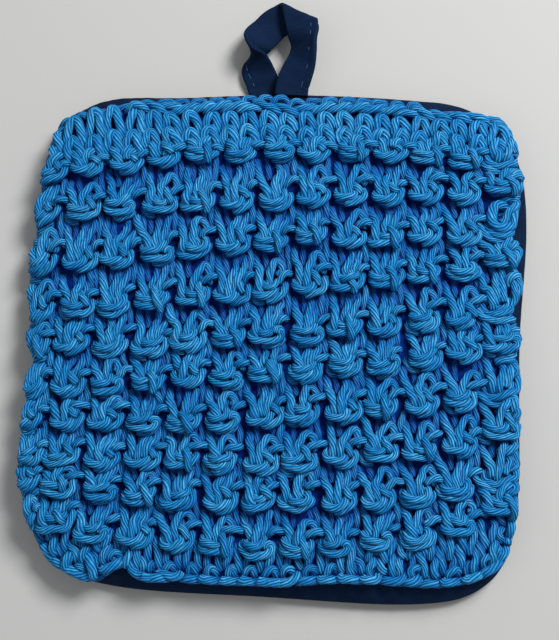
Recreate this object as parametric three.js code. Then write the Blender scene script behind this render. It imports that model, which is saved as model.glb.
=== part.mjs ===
// Knit potholder in millimetres, +Z up, lying on its back.
// A filled cloth pad carries a thick knit panel over its whole front. A cloth tape, sewn into
// the pad's top seam by both ends, makes the hanging loop: it lies flat where it leaves the
// seam, takes one half twist, and is folded over itself at the top of the loop.
// X runs across the pad and +Y towards the loop. The origin is at the middle of the part's
// footprint, on the surface that the pad lies on.
import * as THREE from 'three';

// ---- Driving dimensions ----

// The pad's seam and the knit panel's edge, from the pad's middle, anticlockwise from the right.
const PAD_OUTLINE = [
  { at: 'right', x: 82.5, y: 0 },
  { at: 'right bulge', x: 86.6, y: 42 },
  { at: 'top right corner starts', x: 85.2, y: 62 },
  { at: 'top right corner', x: 78.5, y: 76 },
  { at: 'top right corner ends', x: 65, y: 85 },
  { at: 'top', x: 48, y: 87.4 },
  { at: 'top, at the loop', x: 5, y: 89.6 },
  { at: 'top', x: -35, y: 88.4 },
  { at: 'top left corner starts', x: -63, y: 87.2 },
  { at: 'top left corner', x: -75, y: 80 },
  { at: 'top left corner ends', x: -80.5, y: 66 },
  { at: 'left', x: -83.5, y: 10 },
  { at: 'left', x: -86.5, y: -44 },
  { at: 'bottom left corner starts', x: -84.4, y: -61 },
  { at: 'bottom left corner', x: -75.5, y: -76 },
  { at: 'bottom left corner ends', x: -58, y: -82.4 },
  { at: 'bottom', x: -5, y: -86.6 },
  { at: 'bottom', x: 45, y: -89 },
  { at: 'bottom right corner starts', x: 62, y: -86.4 },
  { at: 'bottom right corner', x: 73, y: -78 },
  { at: 'bottom right corner ends', x: 78.6, y: -62 },
];
const KNIT_OUTLINE = [
  { at: 'right', x: 81, y: 0 },
  { at: 'right bulge', x: 84, y: 45 },
  { at: 'top right corner starts', x: 83.2, y: 66 },
  { at: 'top right corner', x: 78.8, y: 77.4 },
  { at: 'top right corner ends', x: 66, y: 80.6 },
  { at: 'top', x: 44, y: 85 },
  { at: 'top, at the loop', x: 0, y: 87.2 },
  { at: 'top', x: -52, y: 85.2 },
  { at: 'top left corner starts', x: -68, y: 82 },
  { at: 'top left corner', x: -78, y: 76.5 },
  { at: 'top left corner ends', x: -81.8, y: 62 },
  { at: 'left', x: -86, y: 25 },
  { at: 'left', x: -86.2, y: -20 },
  { at: 'left', x: -86.2, y: -46 },
  { at: 'bottom left corner starts', x: -82.6, y: -62 },
  { at: 'bottom left corner', x: -75.6, y: -75 },
  { at: 'bottom left corner ends', x: -62, y: -80.6 },
  { at: 'bottom', x: -20, y: -82.4 },
  { at: 'bottom', x: 30, y: -84.2 },
  { at: 'bottom right corner starts', x: 61, y: -83.6 },
  { at: 'bottom right corner', x: 73.2, y: -76 },
  { at: 'bottom right corner ends', x: 78.8, y: -58 },
];

// The pad's section: a blunt seam at half height, a shoulder above and below it, and a crown.
const SEAM_HEIGHT = 4.2;
const SEAM_BLUNT = 0.5;
const SHOULDER_RISE = 4.0;
const SHOULDER_WIDTH = 12;
const UNDER_WIDTH = 10;
const CROWN_RISE = 1.2;
const HALF_SIDE = 87;

// The knit panel, and the scallops that its rows of knots make down both sides.
const KNIT_THICKNESS = 6.4;
const KNIT_EDGE_THICKNESS = 3.4;
const KNIT_EDGE_ROUND = 5;
const KNOT_ROW_PITCH = 15.4;
const SCALLOP = 1.0;
const CLEARANCE = 0.45;

// The tape of the hanging loop. Stations are measured from the middle of the loop's foot on
// the pad's top seam. The first table runs from the left foot to where the tape is folded, and
// the second from the fold to the right foot. Roll is the tape's turn about its own length, in
// degrees: the half twist comes before the fold, and the right leg leans a little after it.
const TAPE = { width: 11.2, thickness: 1.6, foldRadius: 1.9 };
const LOOP_FOOT = { x: -0.8, y: 90.4 };
const RISING_TAPE = [
  { across: -5.1, up: 0.0, height: 3.1, roll: 0 },
  { across: -5.3, up: 2.0, height: 3.2, roll: 0 },
  { across: -6.4, up: 5.6, height: 3.8, roll: 10 },
  { across: -7.5, up: 9.6, height: 5.6, roll: 46 },
  { across: -8.4, up: 13.6, height: 7.2, roll: 92 },
  { across: -7.7, up: 17.8, height: 7.0, roll: 146 },
  { across: -4.4, up: 22.4, height: 6.2, roll: 180 },
  { across: 0.4, up: 27.0, height: 6.0, roll: 180 },
];
const FALLING_TAPE = [
  { across: 8.8, up: 22.8, height: 6.0, roll: 186 },
  { across: 9.2, up: 16.4, height: 5.6, roll: 208 },
  { across: 7.9, up: 10.4, height: 4.2, roll: 200 },
  { across: 5.9, up: 5.2, height: 2.2, roll: 186 },
  { across: 4.8, up: 2.0, height: 1.4, roll: 180 },
  { across: 4.7, up: 0.0, height: 1.3, roll: 180 },
];
const FOLD_LINE = { across: 4.2, up: 29.4, angle: -25 };

// Fineness of the facets.
const PAD_POINTS = 96;
const KNIT_POINTS = 168;
const TAPE_STEPS = 72;
const TAPE_STRIPS = 5;

// ---- Shared outlines and heights ----

// Turns an outline's table into a function that gives its reach from the middle at an angle.
function makeReach(outline) {
  const corners = outline.map(({ x, y }) => new THREE.Vector3(x, y, 0));
  const route = new THREE.CatmullRomCurve3(corners, true, 'centripetal');
  const samples = route.getPoints(outline.length * 24).slice(0, -1).map((p) => ({
    angle: (Math.atan2(p.y, p.x) + 2 * Math.PI) % (2 * Math.PI),
    reach: Math.hypot(p.x, p.y),
  })).sort((a, b) => a.angle - b.angle);
  const last = samples[samples.length - 1];
  samples.unshift({ angle: last.angle - 2 * Math.PI, reach: last.reach });
  samples.push({ angle: samples[1].angle + 2 * Math.PI, reach: samples[1].reach });
  return (angle) => {
    const next = samples.findIndex((sample) => sample.angle > angle);
    const [a, b] = [samples[next - 1], samples[next]];
    return THREE.MathUtils.mapLinear(angle, a.angle, b.angle, a.reach, b.reach);
  };
}

const padReach = makeReach(PAD_OUTLINE);
const knitEdge = makeReach(KNIT_OUTLINE);

function knitReach(angle) {
  const reach = knitEdge(angle);
  const sideways = Math.cos(angle) ** 4;
  return reach + SCALLOP * sideways * Math.cos(2 * Math.PI * reach * Math.sin(angle) / KNOT_ROW_PITCH);
}

// Height of the pad's front at a distance inside its seam. Past the seam the slope runs on down.
function padFront(inside) {
  const slope = 3 * SHOULDER_RISE / SHOULDER_WIDTH;
  if (inside < 0) return SEAM_HEIGHT + SEAM_BLUNT + slope * inside;
  const left = Math.max(0, 1 - inside / SHOULDER_WIDTH);
  const crown = 1 - (1 - Math.min(1, inside / HALF_SIDE)) ** 2;
  return SEAM_HEIGHT + SEAM_BLUNT + SHOULDER_RISE * (1 - left ** 3) + CROWN_RISE * crown;
}

function padBack(inside) {
  return (SEAM_HEIGHT - SEAM_BLUNT) * Math.max(0, 1 - inside / UNDER_WIDTH) ** 3;
}

// ---- Closed bodies from rings of points ----

// Joins rings, each anticlockwise as seen from the far end, and closes both ends with fans.
function loft(rings) {
  const count = rings[0].length;
  const middle = (ring) => ring.reduce((sum, p) => sum.add(p), new THREE.Vector3()).divideScalar(count);
  const points = [...rings.flat(), middle(rings[0]), middle(rings[rings.length - 1])];
  const faces = [];
  for (let r = 0; r < rings.length - 1; r++) {
    for (let i = 0; i < count; i++) {
      const a = r * count + i;
      const b = r * count + (i + 1) % count;
      faces.push(a, b, b + count, a, b + count, a + count);
    }
  }
  const last = (rings.length - 1) * count;
  for (let i = 0; i < count; i++) {
    const next = (i + 1) % count;
    faces.push(rings.length * count, next, i);
    faces.push(rings.length * count + 1, last + i, last + next);
  }
  const geometry = new THREE.BufferGeometry().setFromPoints(points);
  geometry.setIndex(faces);
  geometry.computeVertexNormals();
  return geometry;
}

// One ring at a share of an outline's reach, with its height worked out at each point.
function ringAt(reach, share, count, heightAt) {
  return Array.from({ length: count }, (_, i) => {
    const angle = 2 * Math.PI * i / count;
    const radius = share * reach(angle);
    return new THREE.Vector3(
      radius * Math.cos(angle),
      radius * Math.sin(angle),
      heightAt(HALF_SIDE * (1 - radius / padReach(angle))),
    );
  });
}

// ---- The filled pad ----

function makePad() {
  const insides = [0, 1.2, 2.8, 5, 8, 12];
  const back = [...insides].reverse().map((d) => ringAt(padReach, 1 - d / HALF_SIDE, PAD_POINTS, padBack));
  const front = [...insides, 44].map((d) => ringAt(padReach, 1 - d / HALF_SIDE, PAD_POINTS, padFront));
  return loft([...back, ...front]);
}

// ---- The knit panel, lying on the pad's front ----

function makeKnit() {
  const insides = [0, 1, 2.6, 5, 9, 14, 44];
  const under = (share) => ringAt(knitReach, share, KNIT_POINTS, (inside) => padFront(inside) + CLEARANCE);
  const over = (share, inset) => {
    const full = Math.sqrt(1 - (1 - Math.min(1, inset / KNIT_EDGE_ROUND)) ** 2);
    const thick = KNIT_EDGE_THICKNESS + (KNIT_THICKNESS - KNIT_EDGE_THICKNESS) * full;
    return ringAt(knitReach, share, KNIT_POINTS, (inside) => padFront(inside) + CLEARANCE + thick);
  };
  const shares = insides.map((d) => 1 - d / HALF_SIDE);
  return loft([
    ...[...shares].reverse().map(under),
    ...shares.map((share, i) => over(share, insides[i])),
  ]);
}

// ---- The hanging loop ----

const foldAngle = THREE.MathUtils.degToRad(FOLD_LINE.angle);
const foldPoint = new THREE.Vector2(FOLD_LINE.across, FOLD_LINE.up);
const alongFold = new THREE.Vector2(Math.cos(foldAngle), Math.sin(foldAngle));
const pastFold = new THREE.Vector2(-Math.sin(foldAngle), Math.cos(foldAngle));

// The tape's middle line before it is folded: past the fold its stations are turned over the
// fold line, which leaves room for the bend.
function unfoldedStations() {
  const bend = Math.PI * TAPE.foldRadius;
  const falling = FALLING_TAPE.map((station) => {
    const from = new THREE.Vector2(station.across, station.up).sub(foldPoint);
    const place = foldPoint.clone()
      .addScaledVector(alongFold, from.dot(alongFold))
      .addScaledVector(pastFold, bend - from.dot(pastFold));
    return { ...station, across: place.x, up: place.y };
  });
  return [...RISING_TAPE, ...falling];
}

// Bends a point that lies past the fold line round the fold, and back over the tape.
function fold(point) {
  const from = new THREE.Vector2(point.x, point.y).sub(foldPoint);
  const past = from.dot(pastFold);
  if (past <= 0) return point;
  const turn = Math.min(Math.PI, past / TAPE.foldRadius);
  const beyond = Math.max(0, past - Math.PI * TAPE.foldRadius);
  const place = foldPoint.clone()
    .addScaledVector(alongFold, from.dot(alongFold))
    .addScaledVector(pastFold, TAPE.foldRadius * Math.sin(turn) - beyond);
  return new THREE.Vector3(place.x, place.y, point.z + TAPE.foldRadius * (1 - Math.cos(turn)));
}

// A point of the tape's middle surface: t runs from foot to foot, side from -1 to 1 across it.
function makeTapeSurface() {
  const stations = unfoldedStations();
  const route = new THREE.CatmullRomCurve3(stations.map((s) => new THREE.Vector3(s.across, s.up, s.height)));
  const rolls = new THREE.CatmullRomCurve3(stations.map((s) => new THREE.Vector3(s.roll, 0, 0)));
  return (t, side) => {
    const place = route.getPoint(t);
    const heading = route.getTangent(t).setZ(0).normalize();
    const roll = THREE.MathUtils.degToRad(rolls.getPoint(t).x);
    const reach = side * TAPE.width / 2;
    place.x += reach * Math.cos(roll) * heading.y;
    place.y -= reach * Math.cos(roll) * heading.x;
    place.z += reach * Math.sin(roll);
    return fold(place);
  };
}

function makeLoop() {
  const surface = makeTapeSurface();
  const nudge = 0.002;
  const thickened = (t, side, face) => {
    const ahead = surface(Math.min(1, t + nudge), side).sub(surface(Math.max(0, t - nudge), side));
    const across = surface(t, side + nudge).sub(surface(t, side - nudge));
    const outward = across.cross(ahead).normalize();
    return surface(t, side).addScaledVector(outward, face * TAPE.thickness / 2);
  };
  const sides = Array.from({ length: TAPE_STRIPS + 1 }, (_, i) => -1 + 2 * i / TAPE_STRIPS);
  const rings = Array.from({ length: TAPE_STEPS + 1 }, (_, i) => {
    const t = i / TAPE_STEPS;
    const upper = sides.map((side) => thickened(t, side, 1));
    const lower = [...sides].reverse().map((side) => thickened(t, side, -1));
    return [...upper, ...lower];
  });
  return loft(rings).translate(LOOP_FOOT.x, LOOP_FOOT.y, 0);
}

// ---- Assembly ----

const cloth = (color, roughness) => new THREE.MeshStandardMaterial({ color, roughness, metalness: 0 });

const pieces = [
  { name: 'backing_pad', geometry: makePad(), material: cloth(0x16233f, 0.85) },
  { name: 'knit_panel', geometry: makeKnit(), material: cloth(0x1b78bd, 0.9) },
  { name: 'hanging_loop', geometry: makeLoop(), material: cloth(0x14213c, 0.8) },
];

const potholder = new THREE.Group();
for (const { name, geometry, material } of pieces) {
  const mesh = new THREE.Mesh(geometry, material);
  mesh.name = name;
  potholder.add(mesh);
}

// The pieces are drawn round the pad's middle, and then moved to the middle of the footprint.
const footprint = new THREE.Box3().setFromObject(potholder);
const middle = footprint.getCenter(new THREE.Vector3());
for (const mesh of potholder.children) mesh.position.set(-middle.x, -middle.y, -footprint.min.z);

export default potholder;
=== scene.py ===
"""Knit potholder: a filled navy pad with a knotted blue knit panel on its front and a tape loop.

Lengths are worked out in millimetres, and turned into metres where a mesh is made.
"""

import math

import bpy
import numpy as np
from mathutils import Matrix, Vector, kdtree


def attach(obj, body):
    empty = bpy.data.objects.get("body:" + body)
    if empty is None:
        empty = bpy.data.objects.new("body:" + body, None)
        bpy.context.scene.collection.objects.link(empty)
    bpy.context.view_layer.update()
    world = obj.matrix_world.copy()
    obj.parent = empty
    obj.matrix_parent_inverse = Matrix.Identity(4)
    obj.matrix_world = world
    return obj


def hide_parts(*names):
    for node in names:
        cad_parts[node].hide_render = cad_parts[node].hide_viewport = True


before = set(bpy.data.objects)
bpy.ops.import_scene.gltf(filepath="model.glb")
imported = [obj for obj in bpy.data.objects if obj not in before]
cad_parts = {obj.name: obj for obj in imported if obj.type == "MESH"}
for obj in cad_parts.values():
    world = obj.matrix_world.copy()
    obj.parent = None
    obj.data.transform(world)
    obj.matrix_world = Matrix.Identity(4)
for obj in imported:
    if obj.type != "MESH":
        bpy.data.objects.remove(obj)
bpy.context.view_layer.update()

bl_info = {
    "name": "Knit potholder",
    "version": (1, 0, 0),
    "blender": (4, 5, 0),
    "location": "3D View > Sidebar > Potholder",
    "description": "Builds a knit potholder: filled pad, knotted knit panel and tape loop",
    "category": "Object",
}

MM = 0.001

# ---- The pad's shape, as the solid has it ----

PAD_MIDDLE = np.array([0.38, -17.59])
SEAM_HEIGHT = 4.2
SHOULDER_RISE = 4.0
SHOULDER_WIDTH = 12.0
UNDER_WIDTH = 10.0
CROWN_RISE = 1.2
HALF_SIDE = 87.0

# ---- The knots' grid ----

# Height of the underside of each row of knots at the left, middle and right of the panel.
KNOT_ROWS = (
    (37.3, 44.6, 40.0),
    (22.7, 26.9, 29.0),
    (5.0, 11.6, 14.5),
    (-11.6, -5.2, 2.1),
    (-24.8, -21.0, -14.5),
    (-38.3, -34.0, -26.7),
    (-50.3, -48.7, -41.5),
    (-62.2, -62.6, -57.5),
    (-71.5, -77.0, -71.0),
    (-83.8, -90.8, -82.6),
)
ROW_ENDS = 70.0
COLUMN_PITCH = 13.3
COLUMN_LEAN = 0.052
COLUMN_SWAY = 0.85
FIRST_GAP = 2.3
COLUMNS = range(-7, 6)
ROW_PITCH = 15.4
# How far the knots by the right edge stand above their rows.
EDGE_RISE = 3.0
# Where the loop at the lower left corner hangs.
HANGING_ANGLE = 230.5
# Where knobs of yarn stand out from the right edge.
KNOB_ANGLES = (343.0, 357.0, 372.5, 380.5, 393.0, 403.5)
# Half columns that the plain stitches of the band and the foot are laid in.
HALF_COLUMNS = range(-13, 13)


# ---- The hanging loop's tape, station by station ----

TAPE_WIDTH = 11.7
TAPE_THICKNESS = 1.6
FOLD_RADIUS = 1.9
LOOP_FOOT = np.array([-0.8 + 0.382, 90.4 - 17.591])
FOLD_ACROSS = 2.8
FOLD_UP = 29.7
FOLD_ANGLE = math.radians(-31)
# Across, up, height and roll in degrees, from the left foot to the fold.
RISING_TAPE = (
    (-4.7, -0.7, 1.3, 0), (-4.9, 2.0, 1.5, 0), (-6.0, 5.6, 2.4, 4), (-8.2, 10.1, 4.8, 30),
    (-9.2, 14.0, 7.2, 86), (-7.7, 18.2, 6.8, 146), (-4.6, 22.4, 5.4, 176), (0.0, 27.0, 4.8, 180),
)
# The same from the fold to the right foot.
FALLING_TAPE = (
    (8.9, 22.4, 7.0, 198), (9.3, 16.4, 6.0, 224), (8.2, 10.4, 4.8, 206), (6.5, 5.2, 4.0, 188),
    (5.3, 2.0, 3.3, 182), (5.0, 0.0, 3.1, 180), (4.9, -2.1, 3.0, 180),
)


# ---- Small helpers for shapes ----

def smooth_route(controls, spacing):
    """Points at an even spacing along a smooth curve through the control points."""
    controls = np.asarray(controls, float)
    ends = np.vstack([2 * controls[0] - controls[1], controls, 2 * controls[-1] - controls[-2]])
    share = np.linspace(0, 1, 12, endpoint=False)[:, None]
    spans = []
    for a, b, c, d in zip(ends, ends[1:], ends[2:], ends[3:]):
        spans.append(0.5 * (2 * b + (c - a) * share + (2 * a - 5 * b + 4 * c - d) * share ** 2
                            + (3 * b - a - 3 * c + d) * share ** 3))
    fine = np.vstack(spans + [controls[-1:]])
    along = np.concatenate([[0], np.cumsum(np.linalg.norm(np.diff(fine, axis=0), axis=1))])
    count = max(3, int(round(along[-1] / spacing)) + 1)
    stations = np.linspace(0, along[-1], count)
    return np.column_stack([np.interp(stations, along, fine[:, k]) for k in range(3)])


def rotation_frames(points):
    """Tangents, and two cross directions carried along the route without extra twist."""
    tangents = np.gradient(points, axis=0)
    tangents /= np.linalg.norm(tangents, axis=1)[:, None]
    first = np.cross(tangents[0], [0.0, 0.0, 1.0])
    if np.linalg.norm(first) < 1e-3:
        first = np.array([1.0, 0.0, 0.0])
    normals = np.empty_like(points)
    normals[0] = first / np.linalg.norm(first)
    for i in range(1, len(points)):
        carried = normals[i - 1] - tangents[i] * normals[i - 1].dot(tangents[i])
        normals[i] = carried / np.linalg.norm(carried)
    return tangents, normals, np.cross(tangents, normals)


def loft(rings):
    """Points and faces of a closed body through rings of points, with a fan at each end."""
    around, count = len(rings[0]), len(rings)
    points = np.vstack([*rings, rings[0].mean(0)[None], rings[-1].mean(0)[None]])
    index = np.arange(count * around).reshape(count, around)
    beside = np.roll(index, -1, axis=1)
    faces = np.stack([index[:-1], beside[:-1], beside[1:], index[1:]], -1).reshape(-1, 4).tolist()
    first, last = np.full(around, count * around), np.full(around, count * around + 1)
    faces += np.stack([first, beside[0], index[0]], -1).tolist()
    faces += np.stack([last, index[-1], beside[-1]], -1).tolist()
    return points, faces


def placed(name, data):
    """A new object, in the scene."""
    item = bpy.data.objects.new(name, data)
    bpy.context.scene.collection.objects.link(item)
    return item


def make_object(name, points, faces, material, attributes=None):
    """A smooth mesh object from points in millimetres."""
    mesh = bpy.data.meshes.new(name)
    mesh.from_pydata(np.asarray(points) * MM, [], faces)
    for label, values in (attributes or {}).items():
        kind = "FLOAT" if values.ndim == 1 else "FLOAT_VECTOR"
        layer = mesh.attributes.new(label, kind, "POINT")
        layer.data.foreach_set("value" if values.ndim == 1 else "vector", values.ravel())
    mesh.shade_smooth()
    mesh.materials.append(material)
    mesh.update()
    return placed(name, mesh)


class Outline:
    """The reach of a CAD node from the pad's middle, by angle."""

    STEPS = 720
    # Corners nearer the middle than this aren't on the outline.
    LEAST_REACH = 60
    BLUR = 8

    def __init__(self, node):
        corners = np.array([v.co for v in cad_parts[node].data.vertices]) / MM
        flat = corners[:, :2] - PAD_MIDDLE
        angles = np.round(np.degrees(np.arctan2(flat[:, 1], flat[:, 0])) % 360, 2)
        reach = np.hypot(flat[:, 0], flat[:, 1])
        far = {}
        for angle, distance in zip(angles, reach):
            far[angle] = max(far.get(angle, 0), distance)
        known = np.array(sorted(angle for angle in far if far[angle] > self.LEAST_REACH))
        values = np.array([far[angle] for angle in known])
        turn = np.arange(self.STEPS) * 360 / self.STEPS
        self.reach = np.interp(turn, known, values, period=360)
        kernel = np.hanning(self.BLUR + 1)
        padded = np.concatenate([self.reach[-self.BLUR:], self.reach, self.reach[:self.BLUR]])
        blurred = np.convolve(padded, kernel / kernel.sum(), "same")
        self.reach = blurred[self.BLUR:-self.BLUR]
        self.turn = turn
        radians = np.radians(turn)
        self.x = PAD_MIDDLE[0] + self.reach * np.cos(radians)
        self.y = PAD_MIDDLE[1] + self.reach * np.sin(radians)

    def at(self, angle):
        """Reach at an angle in radians."""
        return np.interp(np.degrees(angle) % 360, self.turn, self.reach, period=360)

    def crossings(self, at, along, across, first):
        """Where a line across the outline meets its first half, and its other half."""
        found = []
        for half in (first, ~first):
            order = np.argsort(along[half])
            found.append(np.interp(at, along[half][order], across[half][order]))
        return found

    def sides(self, y):
        """The outline's left and right X at a height."""
        return self.crossings(y, self.y, self.x, self.x < PAD_MIDDLE[0])

    def ends(self, x):
        """The outline's lower and upper Y at a place across."""
        return self.crossings(x, self.x, self.y, self.y < PAD_MIDDLE[1])


PAD = Outline("backing_pad")
KNIT = Outline("knit_panel")


# How far the yarn stops short of the solid's outline, by angle in degrees.
DRAWN_IN = ((0, 0.0), (4, 0.8), (7.5, 1.8), (10, 0.4), (12, -0.5), (15, -0.2), (17, 1.4),
            (19.5, 0.4), (20.5, 0.2), (21.5, 2.4), (22.5, 3.6), (23.5, 3.2), (28, 2.0), (31, 0.6),
            (33, -0.9), (34.5, 0.0), (36.5, 1.2), (38.5, -0.2), (41, -0.8), (44, -1.0), (48, 0.5),
            (54, 0.7), (60, -0.2), (67, 0.8), (75, 0.0), (82, 1.2), (90, -0.4), (105, 0.8),
            (120, 0.9), (127.5, 2.3), (132, 0.2), (135, -0.8), (142, 0.2), (150, -1.2),
            (157, 0.2), (165, -1.2), (172, 0.7), (180, 0.4), (187, 2.4), (193, 0.2), (210, -1.2),
            (217, -0.6), (228, -0.4), (231, -1.4), (233, -0.6), (234.2, 3.0), (235.5, 5.5),
            (237, 5.0), (239, 2.0), (241.5, 0.4), (246, 0.4), (255, -0.4), (270, -0.3),
            (278, 1.1), (285, 1.8), (305, 1.2), (314, 0.2), (322, 1.0), (330, 1.2), (345, 0.3),
            (360, 0.0))


def knit_reach(angle):
    """How far the yarn reaches from the pad's middle, at an angle in radians."""
    turn, short = np.array(DRAWN_IN).T
    return KNIT.at(angle) - np.interp(np.degrees(angle) % 360, turn, short)


def pad_front(x, y):
    """Height of the pad's front, which slopes on down past its seam."""
    dx, dy = x - PAD_MIDDLE[0], y - PAD_MIDDLE[1]
    inside = HALF_SIDE * (1 - np.hypot(dx, dy) / PAD.at(np.arctan2(dy, dx)))
    slope = 3 * SHOULDER_RISE / SHOULDER_WIDTH
    left = np.clip(1 - inside / SHOULDER_WIDTH, 0, 1)
    crown = 1 - (1 - np.clip(inside / HALF_SIDE, 0, 1)) ** 2
    within = SEAM_HEIGHT + SHOULDER_RISE * (1 - left ** 3) + CROWN_RISE * crown
    return np.where(inside < 0, SEAM_HEIGHT + slope * inside, within)


def on_pad(x, y, lift):
    """The place a distance above the pad's front, measured square to it."""
    step = 1.0
    dzdx = (pad_front(x + step, y) - pad_front(x - step, y)) / (2 * step)
    dzdy = (pad_front(x, y + step) - pad_front(x, y - step)) / (2 * step)
    length = np.sqrt(1 + dzdx ** 2 + dzdy ** 2)
    return np.column_stack([x - lift * dzdx / length, y - lift * dzdy / length,
                            pad_front(x, y) + lift / length])


def held_in(points, radius):
    """The points, drawn in where yarn of that radius would pass the knit panel's edge."""
    away = points[:, :2] - PAD_MIDDLE
    reach = np.hypot(away[:, 0], away[:, 1])
    limit = knit_reach(np.arctan2(away[:, 1], away[:, 0])) - radius * 0.95
    share = np.minimum(1, limit / reach)
    return np.column_stack([PAD_MIDDLE + away * share[:, None], points[:, 2]])


# ---- Shader building ----

class Socket:
    """A shader socket. Arithmetic on it adds the Math nodes that work it out."""

    def __init__(self, tree, output):
        self.tree = tree
        self.output = output

    def worked_out(self, operation, *terms):
        node = self.tree.nodes.new("ShaderNodeMath")
        node.operation = operation
        for place, term in zip(node.inputs, terms):
            plug(self.tree, place, term)
        return Socket(self.tree, node.outputs[0])

    def __add__(self, other):
        return self.worked_out("ADD", self, other)

    def __radd__(self, other):
        return self.worked_out("ADD", other, self)

    def __sub__(self, other):
        return self.worked_out("SUBTRACT", self, other)

    def __rsub__(self, other):
        return self.worked_out("SUBTRACT", other, self)

    def __mul__(self, other):
        return self.worked_out("MULTIPLY", self, other)

    def __rmul__(self, other):
        return self.worked_out("MULTIPLY", other, self)

    def __truediv__(self, other):
        return self.worked_out("DIVIDE", self, other)

    def __pow__(self, other):
        return self.worked_out("POWER", self, other)

    def sine(self):
        return self.worked_out("SINE", self)

    def within(self):
        """The value held between 0 and 1."""
        held = self.worked_out("MULTIPLY", self, 1.0)
        held.output.node.use_clamp = True
        return held


def plug(tree, place, value):
    """Links a socket, or sets a plain value."""
    if isinstance(value, Socket):
        tree.links.new(value.output, place)
    else:
        place.default_value = value


class Finish:
    """A material with one principled shader, and the nodes that vary it."""

    def __init__(self, name, constants):
        self.material = bpy.data.materials.new(name)
        self.material.use_nodes = True
        self.tree = self.material.node_tree
        self.tree.nodes.clear()
        self.shader = self.tree.nodes.new("ShaderNodeBsdfPrincipled")
        output = self.tree.nodes.new("ShaderNodeOutputMaterial")
        self.tree.links.new(self.shader.outputs[0], output.inputs[0])
        for label, value in constants.items():
            self.shader.inputs[label].default_value = value

    def node(self, kind, settings=None, inputs=None, output=0):
        """One node: its type, its settings, and the values or links of its sockets."""
        node = self.tree.nodes.new(kind)
        for label, value in (settings or {}).items():
            if label == "stops":
                ramp = node.color_ramp
                while len(ramp.elements) < len(value):
                    ramp.elements.new(1.0)
                for element, (position, colour) in zip(ramp.elements, value):
                    element.position = position
                    element.color = colour
            else:
                setattr(node, label, value)
        for label, value in (inputs or {}).items():
            plug(self.tree, node.inputs[label], value)
        return Socket(self.tree, node.outputs[output])

    def attribute(self, label, output="Fac"):
        return self.node("ShaderNodeAttribute", {"attribute_name": label}, None, output)

    def mixed(self, factor, first, second, way="MIX"):
        """Two colours mixed."""
        return self.node("ShaderNodeMix", {"data_type": "RGBA", "blend_type": way},
                         {0: factor, 6: first, 7: second}, 2)

    def noise(self, place, scale, detail=2.0, roughness=0.5):
        return self.node("ShaderNodeTexNoise", None,
                         {"Vector": place, "Scale": scale, "Detail": detail,
                          "Roughness": roughness})

    def place(self):
        return self.node("ShaderNodeTexCoord", None, None, "Object")

    def stretched(self, place, factors):
        return self.node("ShaderNodeVectorMath", {"operation": "MULTIPLY"},
                         {0: place, 1: factors})

    def bump(self, height, strength, distance):
        return self.node("ShaderNodeBump", None,
                         {"Height": height, "Strength": strength, "Distance": distance})

    def feed(self, links):
        for label, link in links.items():
            plug(self.tree, self.shader.inputs[label], link)
        return self.material


def opaque(colour):
    return (*colour[:3], 1.0)


# ---- Sizes and colours that a user would change ----

def colour_setting(name, description, default):
    """A property that holds a colour."""
    return bpy.props.FloatVectorProperty(name=name, description=description, default=default,
                                         subtype="COLOR", size=3, min=0, max=1)


class YarnSettings(bpy.types.PropertyGroup):
    """The knit panel's yarn."""

    radius: bpy.props.FloatProperty(
        name="Yarn radius", description="Half the thickness of the yarn", default=1.46 * MM,
        subtype="DISTANCE", unit="LENGTH")
    plies: bpy.props.IntProperty(
        name="Plies", description="Plies that show round the yarn", default=8, min=3)
    twist: bpy.props.FloatProperty(
        name="Twist length", description="Length of one turn of the plies", default=19.0 * MM,
        subtype="DISTANCE", unit="LENGTH")
    # Painted highlight: the lighter colour along each ply's crest.
    crest: colour_setting("Crest colour", "Colour along the top of each ply",
                          (0.125, 0.430, 0.645))
    body: colour_setting("Body colour", "Colour of the sides of each ply",
                         (0.007, 0.206, 0.443))
    # Painted shade: the darker colour in the creases between plies.
    crease_shade: colour_setting("Crease colour", "Colour between the plies",
                           (0.0000, 0.066, 0.260))
    # Painted shade: the colour the yarn is mixed to deep between the knots and on its flanks.
    shade: colour_setting("Shade colour", "Colour of the yarn deep between the knots",
                          (0.0000, 0.034, 0.250))


class ClothSettings(bpy.types.PropertyGroup):
    """The navy cloth of the pad and the loop."""

    thread: colour_setting("Thread colour", "Colour of the raised threads",
                           (0.0040, 0.0180, 0.0560))
    # Darker cloth colour: painted shade in the weave's hollows, and random darker tone where the
    # noise is low.
    hollow_tone_and_shade: colour_setting("Hollow colour", "Colour between the threads",
                           (0.0007, 0.0035, 0.0140))


class StageSettings(bpy.types.PropertyGroup):
    """The floor, the light and the camera."""

    floor: colour_setting("Floor colour", "Colour of the plain floor",
                          (0.40, 0.40, 0.39))
    lens: bpy.props.FloatProperty(
        name="Focal length", description="The camera's focal length in millimetres", default=71.2)


# ---- The yarn ----

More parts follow.
